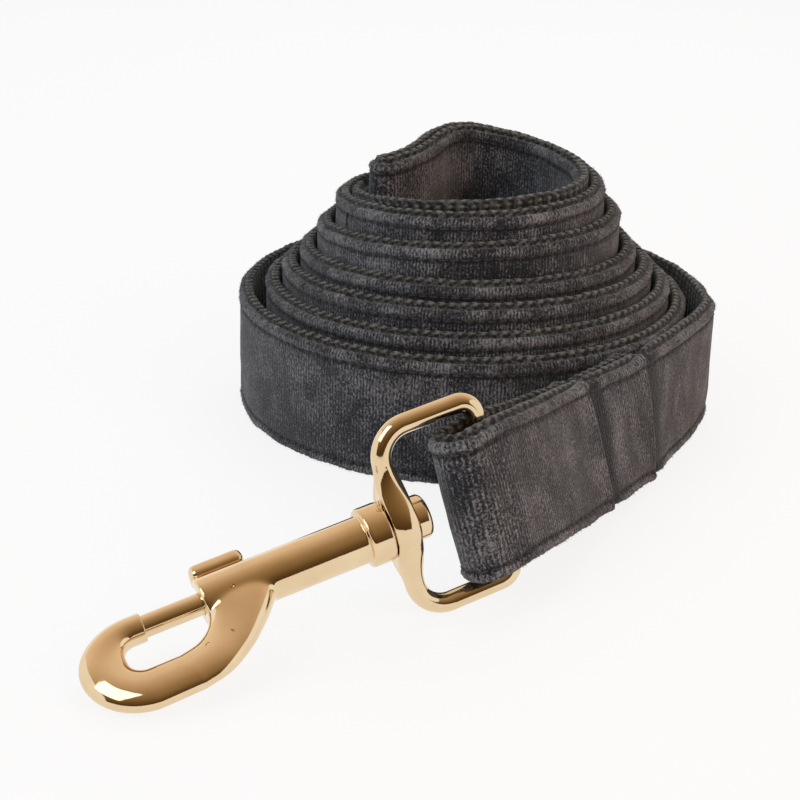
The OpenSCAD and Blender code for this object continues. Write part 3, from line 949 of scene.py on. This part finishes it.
def greyThread():
    finish, tree, shader = newFinish("greyThread", threadFinish["shader"])
    ply = noisesOn(tree, objectMap(tree), threadFinish)["ply"]
    colourOn(tree, shader, ply, threadFinish["stops"])
    bumpOn(tree, shader, ply, *threadFinish["bump"])
    return finish


goldFinish = {
    "noises": {"cloud": (160, 3, 0.5), "rub": (700, 3, 0.6)},
    "stops": ((0.35, (0.78, 0.595, 0.365)), (0.65, (0.83, 0.66, 0.435))),
    "roughness": {"To Min": 0.05, "To Max": 0.11},
    "height": {"cloud": 0.7, "rub": 0.2},
    "bump": (0.06, 0.3 * mm),
    "shader": {"Metallic": 1.0},
}


def goldPlate():
    finish, tree, shader = newFinish("goldPlate", goldFinish["shader"])
    values = noisesOn(tree, objectMap(tree), goldFinish)
    colourOn(tree, shader, values["cloud"], goldFinish["stops"])
    shine = addNode(tree, "ShaderNodeMapRange", **goldFinish["roughness"])
    tree.links.new(values["rub"], shine.inputs["Value"])
    tree.links.new(shine.outputs["Result"], shader.inputs["Roughness"])
    bumpOn(tree, shader, weighted(tree, values, goldFinish["height"]), *goldFinish["bump"])
    return finish


steelFinish = {
    "noises": {"drawn": (1500, 2, 0.5)},
    "stops": ((0.3, (0.32, 0.32, 0.34)), (0.7, (0.52, 0.52, 0.55))),
    "shader": {"Metallic": 1.0, "Roughness": 0.32},
}


def springSteel():
    finish, tree, shader = newFinish("springSteel", steelFinish["shader"])
    drawn = noisesOn(tree, objectMap(tree), steelFinish)["drawn"]
    colourOn(tree, shader, drawn, steelFinish["stops"])
    return finish


finishes = {
    "velvet": charcoalVelvet(),
    "webbing": darkWebbing(),
    "thread": greyThread(),
    "gold_casting": goldPlate(),
    "spring_steel": springSteel(),
}


def dress(piece, slot, body):
    piece.data.materials.append(finishes[slot])
    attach(piece, body)


for strapPiece, strapSlot in ((velvetFacing, "velvet"), (pileFuzz, "velvet"), (webbingStrip, "webbing"),
                              (edgeRows, "thread"), (hookSeams, "thread"), (loopSeams, "thread"),
                              (frays, "thread")):
    dress(strapPiece, strapSlot, "strap")
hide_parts("coil_velvet", "hook_end_velvet")
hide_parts("coil_webbing", "hook_end_webbing")
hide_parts("hook_end_stitches")
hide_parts("handle_stitches")


# gold snap: each casting is modelled along +X from the middle of the eye's hub and then put in its place

snap = {
    "hub": Vector(joints["swivel"]["pos_m"]),
    "along": Vector(joints["swivel"]["axis"]),
    "eyeUp": Vector(joints["eye_pivot"]["axis"]),
    "hookRoll": 14.5,  # degrees about the barrel
    "sides": 96,
    "rimSteps": 6,
    "sharpFrom": 40,  # degrees between faces
}


def hookUp():
    x = snap["along"]
    across = Vector((-x.y, x.x, 0)).normalized()
    roll = math.radians(snap["hookRoll"])
    return x.cross(across) * math.cos(roll) + across * math.sin(roll)


def putInPlace(piece, up):
    x = snap["along"]
    turn = Matrix((x, up.cross(x), up)).transposed().to_4x4()
    piece.data.transform(Matrix.Translation(snap["hub"]) @ turn)
    turnOutwards(piece)


def settled():  # the piece just added, with its place, turn and size taken up by its points
    bpy.ops.object.transform_apply(location=True, rotation=True, scale=True)
    return bpy.context.object


def rod(radius, start, end, standAt=None):  # along X, or along Y at a place on X
    middle, quarter = (start + end) / 2, math.pi / 2
    place, turn = (middle, 0, 0), (0, quarter, 0)
    if standAt is not None:
        place, turn = (standAt, middle, 0), (quarter, 0, 0)
    pickOut()
    bpy.ops.mesh.primitive_cylinder_add(vertices=snap["sides"], radius=radius, depth=end - start,
                                        location=place, rotation=turn)
    return settled()


def block(low, high):
    pickOut()
    bpy.ops.mesh.primitive_cube_add(size=1, location=[(a + b) / 2 for a, b in zip(low, high)],
                                    scale=[b - a for a, b in zip(low, high)])
    return settled()


def selectRing(piece, x):  # the end of a rod, left selected in edit mode
    pickOut(piece)
    mesh = piece.data
    mesh.polygons.foreach_set("select", [False] * len(mesh.polygons))
    mesh.edges.foreach_set("select", [False] * len(mesh.edges))
    for point in mesh.vertices:
        point.select = abs(point.co.x - x) < tiny
    bpy.ops.object.mode_set(mode="EDIT")
    bpy.ops.mesh.select_mode(type="VERT")


def roundRim(piece, x, radius):
    selectRing(piece, x)
    bpy.ops.mesh.bevel(offset=radius, segments=snap["rimSteps"], affect="EDGES")
    leaveEdit()


def drawOut(piece, x, inset, reach):  # a thinner rod drawn out of a rod's end
    selectRing(piece, x)
    bpy.ops.mesh.inset(thickness=inset)
    bpy.ops.mesh.extrude_region_move(TRANSFORM_OT_translate={"value": (reach, 0, 0)})
    leaveEdit()


def joined(*pieces):
    pickOut(*pieces)
    bpy.ops.object.join()
    return pieces[0]


def shaped(piece, kind, **settings):  # one modifier, applied
    pickOut(piece)
    modifier = piece.modifiers.new(kind, kind)
    for key, value in settings.items():
        setattr(modifier, key, value)
    bpy.ops.object.modifier_apply(modifier=kind)


def fused(piece, grain, rounds):  # one skin over all, with its corners softened
    shaped(piece, "REMESH", mode="VOXEL", voxel_size=grain)
    shaped(piece, "SMOOTH", iterations=rounds)


def drilled(piece, tools):
    for tool in tools:
        shaped(piece, "BOOLEAN", operation="DIFFERENCE", object=tool)
        bpy.data.objects.remove(tool)


def finishCasting(piece, name, node, up, body):
    piece.name = name
    putInPlace(piece, up)
    pickOut(piece)
    bpy.ops.object.shade_smooth_by_angle(angle=math.radians(snap["sharpFrom"]))
    dress(piece, "gold_casting", body)
    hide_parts(node)
    print("cast", name)


# hook: collar, barrel and one bar that leaves it as a broad neck and bends round to the nose

hook = {
    "barrel": 3.85 * mm,
    "barrelFrom": 3.4 * mm,
    "collar": 4.85 * mm,
    "collarFrom": 2.4 * mm,
    "collarLong": 3.9 * mm,
    "collarRims": (0.3 * mm, 0.5 * mm),  # rear, front
    "pinBore": 2 * mm,
    "pinEnd": 8.3 * mm,
    "boreFrom": 8.8 * mm,
    "bore": 1.85 * mm,
    "mouth": 33.4 * mm,
    "mouthRim": 0.4 * mm,
    "noseFrom": 42.7 * mm,
    "noseLong": 2 * mm,
    "nose": 2.3 * mm,
    "seat": 1.65 * mm,
    "crook": (3.7 * mm, 2.2 * mm),  # half width and half thickness
    "belly": (3.6 * mm, 2.1 * mm),
    "root": 3.1 * mm,
    "rootFade": 3.5,  # entries of the neck over which the root thins down
    "reach": 15.6 * mm,
    # rear and front edge of the neck: distance from the mouth in millimetres, share of the reach
    "neck": np.array([[-11.4, 0.19, -0.7, -0.09], [-9.5, 0.35, -0.2, 0.12], [-6.8, 0.54, 0.2, 0.255],
                      [-3.7, 0.73, 1.3, 0.38], [0.4, 0.905, 3.5, 0.485], [5, 0.985, 6.6, 0.535]]),
    "steps": (40, 48, 5),  # sections of the neck, the bend and the nose
    "around": 48,
    "flatness": (0.8, 1.02),  # 1 is an oval, less is squarer: at the neck and from the belly on
    "flatRun": (16, 22),  # section where the squareness begins to fade, and over how many it does
    "slot": 1.4 * mm,
    "slotFrom": 23.5 * mm,
    "slotPast": 0.5 * mm,
    "grain": 0.15 * mm,
    "soften": 12,
    "blend": 70,
    "blendLeast": 0.01,
    "blendX": (19 * mm, 3 * mm, 33.6 * mm, 1.5 * mm),  # start, rise, end, fall
    "blendY": (0.2 * mm, 1.5 * mm, 7 * mm, 2 * mm),
    "pits": [(28.5, 2.0, 0.4), (31.6, 9.2, 2.2), (35.8, 9.6, 0.3)],  # place in millimetres, turn
    "pit": (0.42 * mm, 0.2 * mm, 0.4 * mm),
    "above": 20 * mm,  # from where the pits are dropped on the casting
}


def barSections():
    # middle, half width towards the outer edge and half thickness of the bar, from the barrel to the nose
    rows = []
    neckSteps, bendSteps, noseSteps = hook["steps"]
    belly, crook, nose = hook["belly"], hook["crook"], hook["nose"]
    for k in np.linspace(0, len(hook["neck"]) - 1, neckSteps):
        n = along(hook["neck"], np.array([k]))[0]
        rear = np.array([hook["mouth"] + n[0] * mm, hook["reach"] * n[1], 0])
        front = np.array([hook["mouth"] + n[2] * mm, hook["reach"] * n[3], 0])
        thickness = hook["root"] + (belly[1] - hook["root"]) * ease(k / hook["rootFade"])
        rows.append(((rear + front) / 2, (rear - front) / 2, thickness))
    bend = (hook["reach"] - belly[0]) / 2
    centre = np.array([hook["noseFrom"] + hook["noseLong"], bend, 0])
    for share in np.linspace(0, 1, bendSteps + 1)[1:]:
        a = math.pi * (0.5 - share)
        d = np.array([math.cos(a), math.sin(a), 0])
        if share < 0.5:
            width, thickness = (b + (c - b) * ease(2 * share) for b, c in zip(belly, crook))
        else:
            width, thickness = (c + (nose - c) * ease(2 * share - 1) for c in crook)
        rows.append((centre + bend * d, d * width, thickness))
    for x in np.linspace(hook["noseFrom"] + hook["noseLong"], hook["noseFrom"], noseSteps + 1)[1:]:
        rows.append((np.array([x, 0, 0]), np.array([0, -nose, 0]), nose))
    return rows


def hookBar():
    t = np.arange(hook["around"]) * fullTurn / hook["around"]
    square, oval = hook["flatness"]
    first, fade = hook["flatRun"]
    points = []
    for i, (middle, half, thickness) in enumerate(barSections()):
        flat = square + (oval - square) * ease((i - first) / fade)
        c = np.sign(np.cos(t)) * np.abs(np.cos(t)) ** flat
        s = np.sign(np.sin(t)) * np.abs(np.sin(t)) ** flat
        points.append(middle + c[:, None] * half + s[:, None] * thickness * upright)
    quads, caps = ringFaces(len(points), len(t))
    piece = meshPiece("hookBar", np.vstack(points).tolist(), quads.tolist() + caps)
    turnOutwards(piece)
    return piece


def pitTool(piece, x, y, turn):
    place = piece.ray_cast((x * mm, y * mm, hook["above"]), (0, 0, -1))[1]
    pickOut()
    bpy.ops.mesh.primitive_uv_sphere_add(segments=12, ring_count=8, location=place, scale=hook["pit"],
                                         rotation=(0, 0, turn))
    return settled()


def window(x, start, rise, end, fall):
    return ease((x - start) / rise) * ease((end - x) / fall)


def blendNeck(casting):  # a wide fillet between the barrel and the flat neck
    place = np.zeros(3 * len(casting.data.vertices))
    casting.data.vertices.foreach_get("co", place)
    x, y, _ = place.reshape(-1, 3).T
    share = window(x, *hook["blendX"]) * window(y, *hook["blendY"])
    group = casting.vertex_groups.new(name="neck")
    for k in np.nonzero(share > hook["blendLeast"])[0]:
        group.add([int(k)], float(share[k]), "REPLACE")
    shaped(casting, "SMOOTH", vertex_group="neck", iterations=hook["blend"])


def makeHook():
    collarFrom, collarEnd = hook["collarFrom"], hook["collarFrom"] + hook["collarLong"]
    collar = rod(hook["collar"], collarFrom, collarEnd)
    rearRim, frontRim = hook["collarRims"]
    roundRim(collar, collarEnd, frontRim)
    roundRim(collar, collarFrom, rearRim)
    barrel = rod(hook["barrel"], hook["barrelFrom"], hook["mouth"])
    roundRim(barrel, hook["mouth"], hook["mouthRim"])
    casting = joined(barrel, collar, hookBar())
    fused(casting, hook["grain"], hook["soften"])
    blendNeck(casting)
    slotLow = -2 * hook["barrel"]
    slot = block((hook["slotFrom"], slotLow, -hook["slot"]),
                 (hook["mouth"] + hook["slotPast"], 0, hook["slot"]))
    heel = rod(hook["slot"], slotLow, 0, hook["slotFrom"])
    bores = [rod(hook["pinBore"], 0, hook["pinEnd"]),
             rod(hook["bore"], hook["boreFrom"], hook["noseFrom"] + hook["seat"])]
    bpy.context.view_layer.update()
    drilled(casting, [pitTool(casting, *pit) for pit in hook["pits"]])
    drilled(casting, bores + [slot, heel])
    finishCasting(casting, "hookCasting", "hook_body", hookUp(), "hook")


# eye: a bent wire loop whose front swells into the drilled hub

eye = {
    "wire": 1.65 * mm,
    "arm": 15.45 * mm,  # from the middle to each arm
    "depth": 16.9 * mm,  # from the hub to the bar
    "hubBend": 5.2 * mm,
    "barBend": 2.6 * mm,
    "bendSteps": 14,
    "wireSteps": 10,
    "hub": 4.7 * mm,
    "hubThick": 2.1 * mm,
    "hubSteps": (41, 64),  # along and around
    "bore": 2.1 * mm,
    "grain": 0.15 * mm,
    "soften": 10,
}


def wireLoop():
    def arc(x, z, r, start):
        return [(x + r * math.cos(a), 0, z + r * math.sin(a))
                for a in np.linspace(start, start + math.pi / 2, eye["bendSteps"])]
    hubZ, barX, barZ = eye["arm"] - eye["hubBend"], eye["barBend"] - eye["depth"], eye["arm"] - eye["barBend"]
    upper = arc(-eye["hubBend"], hubZ, eye["hubBend"], 0) + arc(barX, barZ, eye["barBend"], math.pi / 2)
    points = upper + [(x, y, -z) for x, y, z in reversed(upper)]
    curve = bpy.data.curves.new("wireLoop", "CURVE")
    curve.dimensions = "3D"
    curve.bevel_depth = eye["wire"]
    curve.bevel_resolution = eye["wireSteps"]
    line = curve.splines.new("POLY")
    line.points.add(len(points) - 1)
    line.points.foreach_set("co", np.c_[np.array(points), np.ones(len(points))].ravel())
    line.use_cyclic_u = True
    pickOut(newPiece("wireLoop", curve))
    bpy.ops.object.convert(target="MESH")
    return bpy.context.object


def spindleHub():
    end = eye["arm"] - eye["hubBend"]
    steps, around = eye["hubSteps"]
    z = np.linspace(-end, end, steps)
    r = eye["wire"] + (eye["hub"] - eye["wire"]) / 2 * (1 + np.cos(math.pi * z / end))
    points = [(0, 0, -end), *zip(r, 0 * z, z), (0, 0, end)]
    hub = meshPiece("spindleHub", points, [], [(k, k + 1) for k in range(len(points) - 1)])
    editAll(hub)
    bpy.ops.mesh.spin(steps=around, angle=fullTurn, center=(0, 0, 0), axis=(0, 0, 1))
    bpy.ops.mesh.select_all(action="SELECT")
    bpy.ops.mesh.remove_doubles(threshold=tiny)
    bpy.ops.mesh.normals_make_consistent(inside=False)
    for side in (-1, 1):
        bpy.ops.mesh.select_all(action="SELECT")
        bpy.ops.mesh.bisect(plane_co=(side * eye["hubThick"], 0, 0), plane_no=(side, 0, 0), use_fill=True,
                            clear_outer=True)
    leaveEdit()
    return hub


def makeEye():
    casting = joined(wireLoop(), spindleHub())
    fused(casting, eye["grain"], eye["soften"])
    drilled(casting, [rod(eye["bore"], -2 * eye["hub"], 2 * eye["hub"])])
    finishCasting(casting, "swivelEye", "swivel_eye", snap["eyeUp"], "eye")


# swivel pin, bolt and thumb stud

pin = {
    "shank": 2 * mm,
    "head": 3.6 * mm,
    "headThick": 2.3 * mm,
    "headAt": -2.4 * mm,
    "rim": 0.8 * mm,
}


def makePin():
    casting = rod(pin["head"], pin["headAt"] - pin["headThick"], pin["headAt"])
    drawOut(casting, pin["headAt"], pin["head"] - pin["shank"], hook["pinEnd"] - pin["headAt"])
    roundRim(casting, pin["headAt"] - pin["headThick"], pin["rim"])
    finishCasting(casting, "swivelPin", "swivel_pin", hookUp(), "hook")


bolt = {
    "rod": 1.75 * mm,
    "from": 22.4 * mm,
    "tip": 44 * mm,
    "rim": 0.6 * mm,
    "spigot": 1.1 * mm,
    "spigotLong": 2.5 * mm,
}


def makeBolt():
    casting = rod(bolt["rod"], bolt["from"], bolt["tip"])
    drawOut(casting, bolt["from"], bolt["rod"] - bolt["spigot"], -bolt["spigotLong"])
    roundRim(casting, bolt["tip"], bolt["rim"])
    finishCasting(casting, "boltRod", "bolt", hookUp(), "bolt")


stud = {
    "stemAt": 32 * mm,
    "stem": 1.15 * mm,
    "stemFoot": -1.4 * mm,  # inside the bolt
    "front": 33.1 * mm,
    "long": 8.8 * mm,
    "wide": 2.05 * mm,
    "high": 2.8 * mm,
    "over": 4.0 * mm,  # from the axis to the tab's underside
    "round": 1.15 * mm,
    "grain": 0.12 * mm,
    "soften": 6,
}


def makeStud():
    low, high = -stud["over"] - stud["high"], -stud["over"]
    tab = block((stud["front"] - stud["long"], low, -stud["wide"]), (stud["front"], high, stud["wide"]))
    editAll(tab)
    bpy.ops.mesh.bevel(offset=stud["round"], segments=snap["rimSteps"], affect="EDGES")
    leaveEdit()
    casting = joined(tab, rod(stud["stem"], (low + high) / 2, stud["stemFoot"], stud["stemAt"]))
    fused(casting, stud["grain"], stud["soften"])
    finishCasting(casting, "thumbStud", "thumb_stud", hookUp(), "bolt")


# spring behind the bolt, which the real bolt presses shorter as it is drawn back; here it is wound once at
# its rest length

spring = {
    "wire": 0.225 * mm,
    "wireSides": 10,
    "radius": 1.475 * mm,
    "from": 9.25 * mm,
    "to": 21.95 * mm,
    "curls": 9,
    "curlSteps": 28,
    "travel": 8.5 * mm,
}


def makeSpring():
    pickOut()
    bpy.ops.mesh.primitive_circle_add(vertices=spring["wireSides"], radius=spring["wire"],
                                      location=(spring["radius"], 0, 0), rotation=(math.pi / 2, 0, 0))
    coil = settled()
    coil.name = "boltSpring"
    pitch = (spring["to"] - spring["from"]) / spring["curls"]
    shaped(coil, "SCREW", axis="Z", screw_offset=pitch, iterations=spring["curls"],
           steps=spring["curlSteps"], render_steps=spring["curlSteps"])
    editAll(coil)
    bpy.ops.mesh.fill_holes(sides=0)
    leaveEdit()
    coil.data.transform(Matrix.Translation((spring["from"], 0, 0)) @ Matrix.Rotation(math.pi / 2, 4, "Y"))
    putInPlace(coil, hookUp())
    coil.data.shade_smooth()
    dress(coil, "spring_steel", "hook")
    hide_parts("bolt_spring")
    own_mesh(coil)
    print("spring wound")


makeHook()
makeEye()
makePin()
makeBolt()
makeStud()
makeSpring()


# floor, lamps and background

studio = {
    "floor": 4.0,
    "floorShader": {"Base Color": (0.9, 0.9, 0.9, 1), "Roughness": 0.9},
    "floorGlow": 0.84,  # share of plain white that the camera and the metal see in the floor
    "ambient": 0.45,
    "lamps": [  # place, size, watts, colour
        ((-0.42, -0.30, 0.50), 0.45, 1.35, (0.82, 0.91, 1.0)),
        ((0.45, -0.32, 0.34), 0.40, 1.6, (1.0, 0.6, 0.39)),
        ((0.05, 0.45, 0.55), 0.45, 1.2, (1.0, 1.0, 1.0)),
    ],
    "aim": Vector((0, 0, 0.02)),
    "cardRadius": 1.2,
    "cardWide": 3.2,
    "cardTurn": (1, 158),  # degrees, from the front horizon over the top
    "cardSteps": 40,
    # share of the turn, colour of the glow that the metal shows as a painted reflection
    "cardTones": [(0.0, (0.07, 0.037, 0.013)), (0.16, (0.16, 0.095, 0.037)), (0.42, (0.385, 0.262, 0.143)),
                  (0.64, (0.69, 0.525, 0.385)), (0.75, (0.83, 0.67, 0.525)), (1.0, (0.94, 0.81, 0.68))],
}


def seenRays(tree):  # 1 for what the camera sees straight, in a mirror or through glass
    rays = addNode(tree, "ShaderNodeLightPath")
    seen = blendOf(tree, "MAXIMUM", rays.outputs["Is Camera Ray"], rays.outputs["Is Glossy Ray"])
    return blendOf(tree, "MAXIMUM", seen, rays.outputs["Is Transmission Ray"])


def layFloor():
    bpy.ops.mesh.primitive_plane_add(size=studio["floor"])
    floor = bpy.context.object
    floor.name = "paleFloor"
    finish, tree, shader = newFinish("paleFloor", studio["floorShader"])
    glow = addNode(tree, "ShaderNodeEmission", Strength=1.0)
    mix = addNode(tree, "ShaderNodeMixShader")
    tree.links.new(blendOf(tree, "MULTIPLY", seenRays(tree), studio["floorGlow"]), mix.inputs["Fac"])
    tree.links.new(shader.outputs["BSDF"], mix.inputs[1])
    tree.links.new(glow.outputs["Emission"], mix.inputs[2])
    tree.links.new(mix.outputs["Shader"], tree.nodes["Material Output"].inputs["Surface"])
    floor.data.materials.append(finish)


def hangGlowingCard():  # a curved card over the front that glows warm though it is no lamp, a painted reflection which only the metal mirrors
    steps, half, radius = studio["cardSteps"], studio["cardWide"] / 2, studio["cardRadius"]
    turn = np.radians(np.linspace(*studio["cardTurn"], steps + 1))
    points = [(x, -radius * math.cos(a), radius * math.sin(a)) for a in turn for x in (-half, half)]
    faces = [[2 * k, 2 * k + 1, 2 * k + 3, 2 * k + 2] for k in range(steps)]
    card = meshPiece("glowingReflectionCard", points, faces)
    share = np.array([(k, k, k + 1, k + 1) for k in range(steps)]) / steps
    layMap(card.data, "round", np.stack([share, 0 * share], -1))
    finish = bpy.data.materials.new("glowingReflectionCard")
    finish.use_nodes = True
    tree = finish.node_tree
    tree.nodes.clear()
    place = addNode(tree, "ShaderNodeSeparateXYZ")
    tree.links.new(addNode(tree, "ShaderNodeUVMap", uv_map="round").outputs["UV"], place.inputs[0])
    glow = addNode(tree, "ShaderNodeEmission", Strength=1.0)
    tree.links.new(rampOn(tree, place.outputs["X"], studio["cardTones"]), glow.inputs["Color"])
    tree.links.new(glow.outputs["Emission"], addNode(tree, "ShaderNodeOutputMaterial").inputs["Surface"])
    card.data.materials.append(finish)
    for kind in ("camera", "diffuse", "shadow", "transmission", "volume_scatter"):
        setattr(card, "visible_" + kind, False)


def hangLamps():
    for place, size, watts, colour in studio["lamps"]:
        bpy.ops.object.light_add(type="AREA", location=place)
        lamp = bpy.context.object
        lamp.data.shape = "SQUARE"
        lamp.data.size = size
        lamp.data.energy = watts
        lamp.data.color = colour
        lamp.visible_glossy = place[0] < 0  # the metal shows only the left lamp
        lamp.rotation_euler = (studio["aim"] - Vector(place)).to_track_quat("-Z", "Y").to_euler()


def whiteWorld():
    world = bpy.data.worlds.new("whiteStudio")
    bpy.context.scene.world = world
    world.use_nodes = True
    tree = world.node_tree
    sky = tree.nodes["Background"]
    sky.inputs["Color"].default_value = (1, 1, 1, 1)
    strength = addNode(tree, "ShaderNodeMapRange", **{"To Min": studio["ambient"]})
    tree.links.new(seenRays(tree), strength.inputs["Value"])
    tree.links.new(strength.outputs["Result"], sky.inputs["Strength"])


layFloor()
hangGlowingCard()
hangLamps()
whiteWorld()
bpy.context.scene.view_settings.view_transform = "Standard"
print("studio set")
